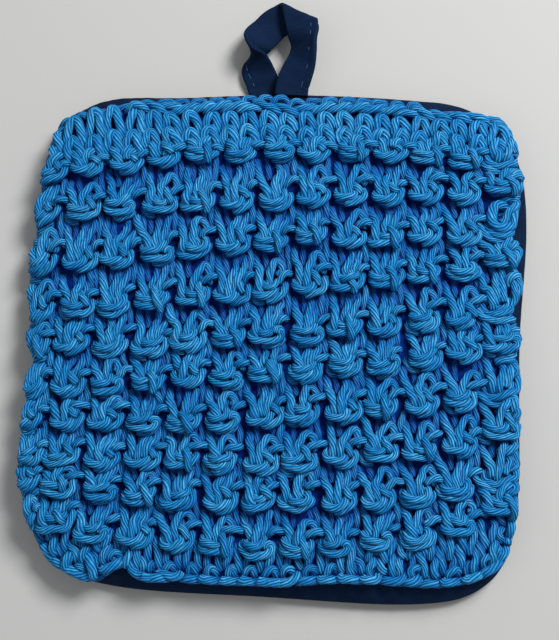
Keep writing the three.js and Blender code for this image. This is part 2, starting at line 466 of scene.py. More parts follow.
class Skein:
    """The yarn's strands, before they are turned into meshes."""

    STEP = 1.0
    RING_STEP = 0.76
    # Strands farther apart than this can't meet, and nor can near points of one strand.
    NEAR = 3.9
    APART = 4
    # How much of its shift a point keeps from round to round.
    KEPT = 0.985

    def __init__(self, radius):
        self.radius = radius
        self.strands = []

    def lay(self, group, route, thickness=1.0):
        """Adds a strand from its route in the frame."""
        points = held_in(smooth_route(route, self.STEP), self.radius * thickness)
        self.strands.append({"group": group, "rest": points, "points": points.copy(),
                             "thickness": thickness})

    def settle(self, rounds, allowed):
        """Pushes the strands apart where they would run through each other."""
        rest = np.vstack([s["rest"] for s in self.strands])
        owner = np.concatenate([np.full(len(s["rest"]), i) for i, s in enumerate(self.strands)])
        place = np.concatenate([np.arange(len(s["rest"])) for s in self.strands])
        radius = np.concatenate([np.full(len(s["rest"]), self.radius * s["thickness"])
                                 for s in self.strands])
        tree = kdtree.KDTree(len(rest))
        for i, p in enumerate(rest):
            tree.insert(p, i)
        tree.balance()
        pairs = []
        for i, p in enumerate(rest):
            for _, j, _ in tree.find_range(p, self.NEAR):
                apart = owner[j] != owner[i] or abs(place[j] - place[i]) > self.APART
                if j > i and apart:
                    pairs.append((i, j))
        a, b = np.array(pairs).T
        room = (radius[a] + radius[b]) * (1 - allowed)
        points = rest.copy()
        count = len(points)
        same = owner[1:] == owner[:-1]
        for _ in range(rounds):
            gap = points[b] - points[a]
            length = np.linalg.norm(gap, axis=1) + 1e-9
            push = np.clip(room - length, 0, None) / length * 0.5
            shove = gap * push[:, None]
            moved = np.zeros_like(points)
            for k in range(3):
                moved[:, k] = (np.bincount(b, shove[:, k], count)
                               - np.bincount(a, shove[:, k], count))
            hits = np.bincount(b, push > 0, count) + np.bincount(a, push > 0, count)
            weight = 1 / np.maximum(1, hits * 0.5)
            shift = points - rest + moved * weight[:, None]
            even = shift.copy()
            even[1:][same] += shift[:-1][same]
            even[:-1][same] += shift[1:][same]
            neighbours = np.ones(count)
            neighbours[1:][same] += 1
            neighbours[:-1][same] += 1
            even /= neighbours[:, None]
            shift = 0.5 * shift + 0.5 * even
            points = rest + shift * self.KEPT
            points = held_in(points, radius)
            floor = pad_front(points[:, 0], points[:, 1]) + radius * 0.9
            points[:, 2] = np.maximum(points[:, 2], floor)
        start = 0
        for strand in self.strands:
            strand["points"] = points[start:start + len(strand["rest"])]
            start += len(strand["rest"])

    def mesh(self, group, plies, twist, rng):
        """Points, faces and per-point ply and tone values of a group's strands."""
        per_ply = 2
        around = plies * per_ply
        dip = np.tile([0.85, 1.0], plies)
        crest = np.tile([0.0, 1.0], plies)
        corners, faces, ply, tone, grain, lift, open_up = [], [], [], [], [], [], []
        start = 0
        for strand in self.strands:
            if strand["group"] != group:
                continue
            route = smooth_route(strand["points"], self.RING_STEP)
            count = len(route)
            _, normal, across = rotation_frames(route)
            spacing = np.linalg.norm(route[1] - route[0])
            turn = (rng.random() * 2 * math.pi
                    - np.arange(count) * spacing / twist * 2 * math.pi)
            angles = turn[:, None] + np.arange(around) * 2 * math.pi / around
            run = np.arange(count)[:, None] * spacing
            phase = rng.random(plies) * 2 * math.pi
            sway = 0.10 * np.sin(run * 0.55 + phase) + rng.normal(size=plies) * 0.07
            angles = angles + np.repeat(sway, per_ply, axis=1)
            full = 1 + 0.06 * np.sin(run * 0.8 + phase[::-1]) + rng.normal(size=plies) * 0.04
            radius = self.radius * strand["thickness"] * dip * np.repeat(full, per_ply, axis=1)
            radius = radius * (1 + 0.04 * np.sin(np.arange(count) * 0.45
                                                 + rng.random() * 6))[:, None]
            ring = (route[:, None, :] + normal[:, None, :] * (np.cos(angles) * radius)[..., None]
                    + across[:, None, :] * (np.sin(angles) * radius)[..., None])
            # How far each point faces up, and its height above the pad stored just below, drive
            # the yarn material's painted shade.
            facing = normal[:, 2:] * np.cos(angles) + across[:, 2:] * np.sin(angles)
            open_up.append(np.concatenate([facing.ravel(), [0.5, 0.5]]))
            body = np.vstack([ring.reshape(-1, 3), route[0], route[-1]])
            corners.append(body)
            lift.append(body[:, 2] - pad_front(body[:, 0], body[:, 1]))
            index = start + np.arange(count * around).reshape(count, around)
            nxt = np.roll(index, -1, axis=1)
            quads = np.stack([index[:-1], nxt[:-1], nxt[1:], index[1:]], -1).reshape(-1, 4)
            faces.extend(quads.tolist())
            hub = start + count * around
            faces.extend(np.stack([np.full(around, hub), nxt[0], index[0]], -1).tolist())
            faces.extend(np.stack([np.full(around, hub + 1), index[-1], nxt[-1]], -1).tolist())
            start = hub + 2
            shade = rng.random()
            ply.append(np.concatenate([np.tile(crest, count), [0.5, 0.5]]))
            tone.append(np.full(count * around + 2, shade))
            run = np.repeat(np.arange(count) * spacing, around)
            side = np.tile(np.arange(around) / per_ply, count)
            flow = np.column_stack([run, side, np.full(len(run), shade * 40)])
            grain.append(np.vstack([flow, flow[:1], flow[-1:]]))
        return (np.vstack(corners), faces,
                {"ply": np.concatenate(ply), "tone": np.concatenate(tone),
                 "lift": np.concatenate(lift), "open": np.concatenate(open_up),
                 "grain": np.vstack(grain)})


def gap_x(column, y):
    """X of the gap on the left of a column of knots."""
    plain = FIRST_GAP + COLUMN_PITCH * column + COLUMN_LEAN * (y + 17.6)
    plain += 0.35 - COLUMN_SWAY * math.sin(plain / 45)
    left, right = KNIT.sides(y)
    if column <= COLUMNS[0]:
        return left + 1.0
    if column > COLUMNS[-1]:
        return right - 0.6
    return plain


def row_y(row, x):
    """Y of the underside of a row of knots."""
    index = min(max(int(row), 0), len(KNOT_ROWS) - 1)
    low, middle, high = KNOT_ROWS[index]
    t = x / ROW_ENDS
    base = middle + t * (high - low) / 2 + t * t * ((high + low) / 2 - middle)
    return base + (index - row) * ROW_PITCH


class Cell:
    """One knot's place: it turns the knot's own measures into places on the pad."""

    BUMP = 4.0
    TUCKED = 1.2
    LEGS = 11.8
    TOP_ROW = 9.6
    WIDTH = 12.3
    # How far chance moves, turns and sizes a knot.
    ASTRAY_ACROSS = 0.35
    ASTRAY_UP = 0.55
    TURNED = 3.5
    SIZED = 0.04

    def __init__(self, column, row, rng):
        x = FIRST_GAP + COLUMN_PITCH * (column + 0.5)
        for _ in range(3):
            y = row_y(row, x) + self.BUMP
            left, right = gap_x(column, y), gap_x(column + 1, y)
            x = (left + right) / 2
        self.x = x + rng.normal() * self.ASTRAY_ACROSS
        self.y = y + rng.normal() * self.ASTRAY_UP
        self.wide = (right - left) / self.WIDTH
        above = row_y(row - 1, x) - row_y(row, x) if row > 0 else self.TOP_ROW
        self.tall = (above - self.TUCKED) / self.LEGS
        self.turn = math.radians(rng.normal() * self.TURNED)
        self.scale = 1 + rng.normal() * self.SIZED

    def route(self, controls):
        controls = np.asarray(controls, float)
        u = controls[:, 0] * self.wide * self.scale
        v = np.where(controls[:, 1] > 0, controls[:, 1] * self.tall, controls[:, 1]) * self.scale
        c, s = math.cos(self.turn), math.sin(self.turn)
        x = self.x + u * c - v * s + v * COLUMN_LEAN
        y = self.y + u * s + v * c
        return on_pad(x, y, controls[:, 2])


# The strands of one knot: across, up and above the pad. Across is from the middle of the
# column, and up is from the point where the two legs meet.
LEFT_LEG = ((-6.0, 9.6, 1.2), (-5.8, 7.8, 2.1), (-5.2, 6.0, 3.1), (-4.3, 4.4, 4.1),
            (-3.3, 2.8, 4.8), (-2.4, 1.0, 5.2), (-1.8, -0.8, 5.0), (-1.6, -2.0, 3.6))
RIGHT_LEG = ((1.1, 9.8, 1.2), (1.0, 8.0, 2.0), (0.7, 6.2, 3.1), (0.2, 4.6, 4.0),
             (-0.4, 2.8, 4.8), (-0.8, 1.0, 5.2), (-1.0, -0.8, 5.0), (-1.0, -2.0, 3.4))
SIDE_LEG = ((3.3, 9.6, 1.2), (3.2, 7.8, 2.0), (2.8, 6.0, 3.0), (2.2, 4.4, 3.8),
            (1.4, 2.8, 4.5), (0.7, 1.0, 4.9), (0.3, -0.8, 4.8))
BEHIND_LEG = ((-2.8, 11.2, 1.0), (-2.6, 9.0, 1.3), (-2.2, 6.8, 1.6), (-1.9, 4.6, 1.8))
SHADED_LEG = ((2.3, 11.4, 1.0), (2.8, 9.2, 1.5), (3.5, 7.0, 1.9), (4.1, 5.0, 1.9),
              (4.0, 3.2, 1.4))
ARCH = ((-1.1, -2.0, 3.4), (-1.0, -0.6, 5.0), (-0.8, 1.2, 5.2), (-0.5, 3.0, 4.9),
        (0.0, 4.8, 4.4), (0.7, 6.6, 3.8), (1.9, 7.6, 3.3), (3.2, 6.8, 3.1), (3.9, 5.0, 3.2),
        (3.7, 3.6, 3.4), (2.8, 2.8, 3.4))
ARCH_FILL = ((1.7, 5.4, 1.8), (1.5, 4.0, 2.6), (1.0, 2.4, 3.6), (0.5, 0.8, 4.6), (0.2, -0.8, 4.8))
BAR = ((4.5, 11.6, 1.2), (4.9, 9.6, 2.2), (5.2, 7.6, 2.6), (5.3, 5.8, 2.2), (5.1, 4.2, 1.4))
LONG_ARM = ((2.0, 2.4, 3.2), (3.2, 3.5, 4.3), (5.0, 4.2, 4.8), (6.8, 4.4, 4.4), (8.2, 4.0, 2.6))
SHORT_ARM = ((1.8, 2.4, 3.2), (3.0, 3.5, 4.4), (4.6, 4.2, 4.5), (6.0, 4.3, 2.8))
CORE = ((-2.9, -0.6, 2.6), (-1.6, -1.6, 3.4), (0.3, -2.0, 3.8), (2.2, -1.4, 3.4), (3.0, 0.2, 2.8))
# The fist below the legs: a smile of yarn that ends in a hook or a curl, or a double one.
SMILE = ((-3.4, 1.0, 3.0), (-3.9, -0.5, 4.2), (-3.2, -1.8, 5.2), (-1.4, -2.4, 5.8),
         (0.3, -2.1, 6.0), (1.3, -1.1, 5.6), (1.7, 0.1, 4.8))
HOOK = ((-1.0, -3.1, 3.8), (0.6, -3.4, 4.8), (2.3, -3.0, 5.5), (3.5, -1.8, 5.4), (3.9, -0.1, 4.8),
        (3.8, 1.6, 3.4))
TUCK = ((0.6, 3.0, 4.0), (1.4, 1.8, 5.2), (2.2, 0.6, 5.7), (2.8, -0.6, 5.0))
LONG_SMILE = ((-3.2, 0.9, 3.0), (-3.8, -0.4, 4.2), (-3.3, -1.7, 5.2), (-1.7, -2.3, 5.6),
              (0.4, -2.5, 5.8), (2.3, -2.4, 5.6), (3.5, -1.2, 5.2), (3.8, 0.4, 4.6),
              (3.6, 1.8, 3.2))
STRAP = ((0.2, 2.2, 4.6), (0.8, 0.8, 5.8), (1.4, -0.8, 6.5), (2.0, -2.2, 6.2), (2.3, -3.5, 4.8))
UNDER_LEFT = ((-4.7, 0.2, 1.6), (-5.2, -1.6, 2.6), (-4.5, -3.4, 3.2), (-3.0, -4.4, 3.3),
              (-1.4, -4.1, 2.8))
CURL = ((-3.2, 1.0, 3.0), (-3.8, -0.4, 4.2), (-3.2, -1.9, 5.2), (-1.5, -2.6, 5.6),
        (0.6, -2.8, 5.8), (2.5, -2.4, 5.6), (3.5, -1.0, 5.4), (3.1, 0.5, 5.5), (1.9, 0.8, 5.8),
        (1.0, -0.2, 5.4))
UNDER_RIGHT = ((-1.6, -3.9, 2.6), (0.2, -4.6, 3.2), (2.1, -4.4, 3.4), (3.7, -3.3, 3.2),
               (4.4, -1.8, 2.6))
OUTER = ((-3.9, 0.8, 2.6), (-4.3, -0.9, 3.8), (-3.4, -2.8, 4.6), (-1.4, -3.7, 5.0),
         (1.1, -3.8, 5.2), (3.1, -2.8, 5.2), (4.0, -1.2, 4.8), (3.9, 0.4, 3.8))
INNER = ((-2.8, 0.2, 3.8), (-2.4, -1.1, 5.4), (-0.8, -1.7, 6.0), (1.0, -1.8, 6.2),
         (2.4, -1.0, 6.0), (2.7, 0.4, 5.2), (2.3, 1.7, 4.0))
UPPER = ((-2.9, 1.4, 3.6), (-2.6, 0.2, 4.9), (-1.4, -0.5, 5.9), (0.2, -0.4, 6.2), (1.3, 0.4, 5.6),
         (1.7, 1.8, 4.4))
# An eye of yarn round a dark hole, its rim, and the strand that crosses below it.
EYE = ((2.2, 6.4, 2.4), (0.0, 6.3, 3.6), (-2.6, 5.2, 4.2), (-3.7, 2.6, 4.6), (-2.7, -0.1, 5.0),
       (0.2, -1.3, 5.0), (2.9, 0.1, 4.6), (3.7, 3.0, 4.0), (2.9, 5.6, 3.0))
RIM = ((-5.2, 0.6, 3.0), (-4.2, -2.2, 3.6), (-1.2, -3.9, 3.8), (2.4, -3.2, 3.8), (4.6, -0.6, 3.4),
       (5.0, 2.8, 3.0), (4.2, 6.0, 2.6))
CROSSING = ((-8.4, -0.6, 3.6), (-6.4, -3.4, 4.0), (-2.6, -5.6, 3.8), (1.2, -6.2, 3.4),
            (4.6, -5.8, 2.6))
FISTS = (((SMILE, 0.92), (HOOK, 0.90), (TUCK, 0.86)),
         ((SMILE, 0.92), (HOOK, 0.90), (UPPER, 0.84), (UNDER_LEFT, 0.78)),
         ((LONG_SMILE, 0.92), (UPPER, 0.84), (STRAP, 0.86)),
         ((LONG_SMILE, 0.92), (TUCK, 0.86), (UPPER, 0.84), (UNDER_LEFT, 0.78)),
         ((CURL, 0.92), (UPPER, 0.84), (UNDER_RIGHT, 0.78)),
         ((OUTER, 0.90), (INNER, 0.92)))
FIST_SHARES = (0.28, 0.14, 0.18, 0.12, 0.14, 0.14)
LONG_ARM_SHARE = 0.55
ARCH_SHARE = 0.5
ARCH_FILL_SHARE = 0.6
EYE_ROW = 2


def uneven(shape, rng, spread):
    """A strand's places, each moved by chance: across, up and above the pad."""
    return np.asarray(shape) + rng.normal(size=np.shape(shape)) * spread


def lay_knots(skein, rng):
    """The knots, row by row. By the right edge one is an open eye, and some have a rim."""
    for row in range(len(KNOT_ROWS)):
        group = f"knit_rows_{row // 2 + 1}"
        for column in COLUMNS:
            cell = Cell(column, row, rng)
            fist = FISTS[rng.choice(len(FISTS), p=FIST_SHARES)]
            arm = LONG_ARM if rng.random() < LONG_ARM_SHARE else SHORT_ARM
            if rng.random() < ARCH_SHARE:
                right = ((ARCH, 0.96), (SHADED_LEG, 0.84))
                if rng.random() < ARCH_FILL_SHARE:
                    right += ((ARCH_FILL, 0.84),)
            else:
                right = ((RIGHT_LEG, 0.96), (SIDE_LEG, 0.94), (SHADED_LEG, 0.84))
            knot = ((LEFT_LEG, 1.02), (BEHIND_LEG, 0.84), *right, (BAR, 0.80), (arm, 0.86),
                    (CORE, 0.90), *fist)
            if column == COLUMNS[-1]:
                cell.y += EDGE_RISE
                if row == EYE_ROW:
                    knot = ((SIDE_LEG, 0.94), (BAR, 0.80), (EYE, 1.25), (RIM, 0.86),
                            (CROSSING, 0.84))
                elif row % 2 == 0:
                    knot = ((LEFT_LEG, 1.00), (BEHIND_LEG, 0.84), *right, (BAR, 0.80),
                            (CORE, 0.86), (RIM, 0.92), (CROSSING, 0.84))
            parting = rng.uniform(-0.6, 0.9)
            leaning = rng.uniform(-0.9, 1.1)
            for route, thickness in knot:
                shape = uneven(route, rng, (0.2, 0.2, 0.12))
                shape[:, 0] += rng.normal() * 0.3
                top = np.clip(shape[:, 1] / 7, 0, 1)
                if route in (RIGHT_LEG, SIDE_LEG, ARCH, SHADED_LEG):
                    shape[:, 0] += parting * top
                elif route is LEFT_LEG:
                    shape[:, 0] += leaning * top
                skein.lay(group, cell.route(shape), thickness)


# The two legs of a plain stitch below the knots, from the foot of its V.
FOOT_LEFT = ((-2.4, 7.4, 2.0), (-2.3, 5.8, 3.2), (-1.9, 3.6, 4.0), (-1.6, 1.2, 4.0),
             (-1.5, -0.8, 2.6))
FOOT_RIGHT = ((2.5, 7.4, 2.0), (2.3, 5.8, 3.2), (1.8, 3.6, 4.0), (1.3, 1.2, 4.0),
              (1.2, -0.8, 2.6))
# A plain stitch of the band between the knots and the chain: one tall narrow loop.
BAND_LOOP = ((-2.3, -1.6, 2.2), (-2.3, 0.8, 3.6), (-2.0, 3.2, 4.1), (-1.5, 5.2, 4.0),
             (-0.3, 6.5, 3.4), (0.9, 5.3, 4.0), (1.7, 3.2, 4.2), (2.4, 0.8, 3.7),
             (2.6, -1.6, 2.2))
# One link of the chain that closes the top edge, the scallop behind it, and its first loop.
CHAIN_LINK = ((-5.0, 0.0, 2.6), (-3.4, 0.0, 3.9), (-1.2, 0.0, 4.6), (1.4, 0.0, 4.6),
              (3.6, 0.0, 3.9), (5.0, 0.0, 2.6))
SCALLOP = ((-3.2, -1.5, 1.6), (-2.8, 0.3, 2.6), (-1.3, 1.8, 3.4), (1.0, 1.8, 3.4),
           (2.5, 0.4, 2.6), (2.9, -1.4, 1.6))
# How much the links slant along the edge: places across, and slopes.
LINK_TILT = ((-44, -36, -10, -4, 2, 10, 42, 50),
             (-0.18, 0.16, 0.16, -0.16, -0.16, 0.14, 0.14, -0.2))
FIRST_LOOP = ((3.4, 0.9, 3.8), (1.4, 1.3, 3.8), (-0.8, 1.1, 3.4), (-1.7, -0.2, 3.0),
              (-0.8, -1.6, 2.6), (0.4, -2.6, 2.0))
# Pieces of the edge, from a place on the outline: along it, in from it, and up.
LEAF = ((-4.4, 2.6, 2.4), (-3.0, 1.6, 3.4), (-1.0, 1.3, 3.8), (1.2, 1.5, 3.6), (3.0, 2.1, 2.8),
        (4.4, 3.0, 1.8))
LITTLE_ARCH = ((-2.4, 2.2, 1.6), (-2.1, 4.2, 2.8), (-0.9, 5.9, 3.4), (0.9, 6.0, 3.4),
               (2.1, 4.3, 2.8), (2.4, 2.2, 1.6))
LUMP = ((-2.9, 3.2, 1.8), (-2.0, 1.8, 3.2), (0.0, 1.3, 3.8), (2.0, 1.7, 3.2), (2.9, 3.0, 1.8))
SIDE_LOOP = ((-1.0, 6.4, 1.6), (-1.05, 3.8, 3.0), (-0.75, 1.9, 2.9), (0.0, 1.3, 2.4),
             (0.75, 1.9, 2.8), (1.05, 4.0, 2.9), (0.9, 6.8, 1.6))
# The loop that hangs from the lower left corner.
HANGING = ((-3.4, 9.0, 2.4), (-4.4, 6.4, 4.0), (-4.4, 3.6, 4.9), (-2.8, 1.6, 5.2), (0.2, 1.1, 5.2),
           (3.0, 2.0, 5.2), (4.2, 4.4, 4.8), (3.6, 7.0, 4.2), (1.4, 8.6, 3.4), (-0.8, 7.4, 3.0))
# A knob of yarn that stands out from the right edge.
KNOB = ((-2.6, 5.4, 2.4), (-2.7, 2.8, 3.6), (-1.3, 1.3, 4.2), (0.9, 1.2, 4.4), (2.5, 2.6, 4.2),
        (2.2, 4.8, 3.6), (0.2, 5.6, 2.8), (-0.8, 3.6, 2.6))


# The chain's parts: strand, pitch, first and last place across, and thickness.
CHAIN_PARTS = (
    (CHAIN_LINK, 6.0, -50.5, 80, 0.92),
    (SCALLOP, 5.8, -40.0, 50, 0.80),
    (FIRST_LOOP, 6.0, -56.5, -55, 0.86),
)


def chain_y(x):
    """Y of the middle of the chain: it nears the panel's edge on the right."""
    share = np.interp(x, (-56, -36, 40, 58, 70), (0.45, 1.0, 1.0, 0.82, 0.5))
    return KNIT.ends(x)[1] - 6.1 * share - 1.2 * math.exp(-((x - 6) / 7) ** 2)


def lay_band(skein, rng):
    """Two rows of plain stitches between the top row of knots and the chain."""
    pitch = COLUMN_PITCH / 2
    for half in HALF_COLUMNS:
        for row in range(2):
            x = FIRST_GAP + pitch * (half + 0.5)
            for _ in range(2):
                top = chain_y(x) - 1.7
                base = row_y(0, x) + Cell.BUMP + 2.4
                tall = (top - base) / 2
                y = base + row * tall
                x = FIRST_GAP + pitch * (half + 0.5) + COLUMN_LEAN * (y + 17.6)
            left, right = KNIT.sides(y)
            if not left + 3 < x < right - 3 or tall < 2.5:
                continue
            size = max(tall, 4.8) / 6.0
            shape = uneven(BAND_LOOP, rng, (0.15, 0.2, 0.1))
            shape[:, 0] += rng.normal() * 0.35 + shape[:, 1] * rng.normal() * 0.06
            foot = base if row == 0 else top - 6.0 * size
            route = on_pad(x + shape[:, 0], foot + shape[:, 1] * size, shape[:, 2] + 0.3 * row)
            skein.lay("knit_top_band", route, 1.12)


def lay_chain(skein, rng):
    """The chain along the top edge, with scallops behind it on the left."""
    for shape, pitch, first, last, thick in CHAIN_PARTS:
        x = first
        while x < last:
            if shape is SCALLOP:
                middle = KNIT.ends(x)[1] - 4.1 - 1.7 * math.exp(-((x - 5) / 4) ** 2)
            else:
                middle = chain_y(x)
            slope = (chain_y(x + 4) - chain_y(x - 4)) / 8
            bend = math.hypot(1, slope)
            tilt = 0.0 if shape is SCALLOP else np.interp(x, LINK_TILT[0], LINK_TILT[1])
            link = uneven(shape, rng, (0.2, 0.15, 0.12))
            across, up = link[:, 0], link[:, 1] + link[:, 0] * tilt
            route = on_pad(x + (across - up * slope) / bend,
                           middle + (up + across * slope) / bend, link[:, 2])
            skein.lay("knit_top_chain", route, thick)
            x += pitch / bend + rng.normal() * 0.2


class Edge:
    """The yarn's outline by distance, from the top left corner down, round and up again."""

    START = 127.0
    STOP = 401.0
    # Where the corner's lumps end and the side loops start, and where the foot starts and ends.
    LEFT_SIDE = 146
    FOOT_START = 216
    FOOT_END = 324

    def __init__(self):
        self.turn = np.radians(np.arange(self.START, self.STOP, 0.25))
        reach = knit_reach(self.turn)
        self.points = PAD_MIDDLE + reach[:, None] * np.column_stack([np.cos(self.turn),
                                                                     np.sin(self.turn)])
        steps = np.linalg.norm(np.diff(self.points, axis=0), axis=1)
        self.distance = np.concatenate([[0], np.cumsum(steps)])

    def place(self, distance):
        return np.array([np.interp(distance, self.distance, self.points[:, k]) for k in (0, 1)])

    def angle(self, distance):
        """The angle in degrees of a place on the outline."""
        return math.degrees(np.interp(distance, self.distance, self.turn))

    def distance_at(self, angle):
        return np.interp(math.radians(angle), self.turn, self.distance)

    def route(self, distance, shape):
        """A piece's places: along the outline, in from it, and up."""
        here = self.place(distance)
        along = self.place(distance + 2.5) - self.place(distance - 2.5)
        along /= np.linalg.norm(along)
        inward = np.array([-along[1], along[0]])
        flat = here + shape[:, :1] * along + shape[:, 1:2] * inward
        return on_pad(flat[:, 0], flat[:, 1], shape[:, 2])


def lay_edge(skein, rng):
    """The panel's edge: lumps, side loops, and the cast-on loops of the bottom."""
    edge = Edge()
    distance = 1.0
    while distance < edge.distance[-1] - 1:
        angle = edge.angle(distance)
        if angle < edge.LEFT_SIDE:
            group, parts, step = "knit_sides", ((LUMP, 0.98),), 4.6
        elif angle < edge.FOOT_START or angle > edge.FOOT_END:
            group = "knit_sides"
            half = rng.uniform(1.9, 2.6) if angle < edge.FOOT_START else rng.uniform(2.5, 3.4)
            loop = np.array(SIDE_LOOP) * (half, 1.0, 1.0)
            parts, step = ((loop, 0.92),), half * 2.15
        else:
            group, parts, step = "knit_foot", ((LEAF, 1.02), (LITTLE_ARCH, 0.88)), 6.7
        for shape, thick in parts:
            shape = uneven(shape, rng, (0.28, 0.2, 0.12))
            skein.lay(group, edge.route(distance, shape), thick)
        distance += step + rng.normal() * 0.25
    hanging = edge.distance_at(HANGING_ANGLE)
    skein.lay("knit_foot", edge.route(hanging, np.asarray(HANGING)), 1.12)
    for angle in KNOB_ANGLES:
        skein.lay("knit_sides", edge.route(edge.distance_at(angle), np.asarray(KNOB)), 0.98)


def lay_foot(skein, rng):
    """Plain stitches between the cast-on loops and the lowest row of knots."""
    pitch = COLUMN_PITCH / 2
    for half in HALF_COLUMNS:
        x = FIRST_GAP + pitch * (half + 0.5) - COLUMN_LEAN * 80
        base = KNIT.ends(x)[0] + 5.2
        top = row_y(len(KNOT_ROWS) - 1, x) + 1.5
        left, right = KNIT.sides(base + 1)
        if not left + 4 < x < right - 4 or top - base < 2.0:
            continue
        rows = max(1, int(round((top - base) / 5.5)))
        tall = (top - base) / rows
        for row in range(rows):
            for stitch in (FOOT_LEFT, FOOT_RIGHT):
                shape = uneven(stitch, rng, (0.25, 0.25, 0.1))
                route = on_pad(x + shape[:, 0], base + row * tall + shape[:, 1] * tall / 5.6,
                               shape[:, 2] * 0.85)
                skein.lay("knit_foot", route, 0.92)


# ---- The tape of the hanging loop ----

class Tape:
    """The tape's middle surface: t runs from foot to foot, and side from -1 to 1 across it."""

    def __init__(self):
        self.along_fold = np.array([math.cos(FOLD_ANGLE), math.sin(FOLD_ANGLE)])
        self.past_fold = np.array([-math.sin(FOLD_ANGLE), math.cos(FOLD_ANGLE)])
        self.fold_point = np.array([FOLD_ACROSS, FOLD_UP])
        stations = [list(station) for station in RISING_TAPE]
        for across, up, height, roll in FALLING_TAPE:
            away = np.array([across, up]) - self.fold_point
            place = (self.fold_point + self.along_fold * away.dot(self.along_fold)
                     + self.past_fold * (math.pi * FOLD_RADIUS - away.dot(self.past_fold)))
            stations.append([place[0], place[1], height, roll])
        self.stations = np.array(stations, float)
        gaps = np.linalg.norm(np.diff(self.stations[:, :3], axis=0), axis=1) ** 0.5
        self.knots = np.concatenate([[0], np.cumsum(gaps)])
        self.knots /= self.knots[-1]

    def station(self, t):
        """Across, up, height and roll at t, on a smooth curve through the stations."""
        t = np.clip(t, 0, 1)
        k = self.knots
        slopes = np.gradient(self.stations, k, axis=0)
        i = np.clip(np.searchsorted(k, t, side="right") - 1, 0, len(k) - 2)
        h = (k[i + 1] - k[i])[:, None]
        s = ((t - k[i])[:, None]) / h
        a, b = self.stations[i], self.stations[i + 1]
        return ((1 + 2 * s) * (1 - s) ** 2 * a + s * (1 - s) ** 2 * h * slopes[i]
                + s * s * (3 - 2 * s) * b + s * s * (s - 1) * h * slopes[i + 1])

    def surface(self, t, side):
        t, side = np.broadcast_arrays(np.asarray(t, float), np.asarray(side, float))
        shape = t.shape
        t, side = np.clip(t.ravel(), 0, 1), side.ravel()
        here = self.station(t)
        step = 1e-3
        heading = self.station(t + step)[:, :2] - self.station(t - step)[:, :2]
        heading /= np.linalg.norm(heading, axis=1)[:, None]
        roll = np.radians(here[:, 3])
        reach = side * TAPE_WIDTH / 2
        x = here[:, 0] + reach * np.cos(roll) * heading[:, 1]
        y = here[:, 1] - reach * np.cos(roll) * heading[:, 0]
        z = here[:, 2] + reach * np.sin(roll)
        away = np.column_stack([x, y]) - self.fold_point
        past = away @ self.past_fold
        turn = np.clip(past / FOLD_RADIUS, 0, math.pi)
        beyond = np.clip(past - math.pi * FOLD_RADIUS, 0, None)
        folded = (self.fold_point + np.outer(away @ self.along_fold, self.along_fold)
                  + np.outer(FOLD_RADIUS * np.sin(turn) - beyond, self.past_fold))
        flat = past <= 0
        x = np.where(flat, x, folded[:, 0])
        y = np.where(flat, y, folded[:, 1])
        z = np.where(flat, z, z + FOLD_RADIUS * (1 - np.cos(turn)))
        return np.column_stack([x + LOOP_FOOT[0], y + LOOP_FOOT[1], z]).reshape(*shape, 3)

    def raised(self, t, side, height):
        """A place a distance from the middle surface, square to it."""
        nudge = 0.003
        ahead = self.surface(t + nudge, side) - self.surface(t - nudge, side)
        across = self.surface(t, side + nudge * 3) - self.surface(t, side - nudge * 3)
        outward = np.cross(across, ahead)
        outward /= np.linalg.norm(outward, axis=-1, keepdims=True)
        return self.surface(t, side) + outward * np.asarray(height)[..., None]


# ---- Materials ----

def yarn_finish(settings):
    """Twisted cotton with fine fibres, painted highlights on the ply crests, painted shade in the
    creases, and painted shade deep in the knots and on the strands' flanks.
    """
    finish = Finish("blue_cotton_yarn", {"Roughness": 0.6, "Specular IOR Level": 0.12})
    ply = finish.attribute("ply")
    tone = finish.attribute("tone")
    lift = finish.attribute("lift")
    # Painted shade on the strands' flanks and undersides, by how far each point faces up.
    painted_flank_light = (finish.attribute("open") * 1.4 + 0.15).within()
    grain = finish.attribute("grain", "Vector")
    fibre = finish.noise(finish.stretched(grain, (0.7, 1.7, 1.0)), 1.0, 2.0, 0.55)
    strand = finish.noise(finish.stretched(grain, (0.12, 1.0, 1.0)), 1.0, 1.0, 0.5)
    round_ply = ply * (2.0 - ply)
    # Where the ply crests get painted highlight and the creases painted shade; the fibre, strand
    # and tone noise vary it at random.
    crest = (round_ply * 1.0 + fibre * 0.9 + strand * 0.6 + tone * 0.2 - 1.25).within()
    # Painted shade: the lower the yarn lies above the pad, the more it takes the shade colour.
    painted_lift_light = (lift * 0.27 - 0.42).within()
    low = finish.mixed((crest * 2.0).within(), opaque(settings.crease_shade), opaque(settings.body))
    light = finish.mixed((crest * 2.0 - 1.0).within(), low, opaque(settings.crest))
    # Painted shade: low-lying yarn and down-facing flanks are mixed towards the shade colour.
    colour = finish.mixed(painted_lift_light * (painted_flank_light * 0.7 + 0.3), opaque(settings.shade), light)
    relief = round_ply * 0.28 + fibre * 0.24
    return finish.feed({"Base Color": colour, "Normal": finish.bump(relief, 1.0, 1.0 * MM)})


THREAD_PITCH = 0.42


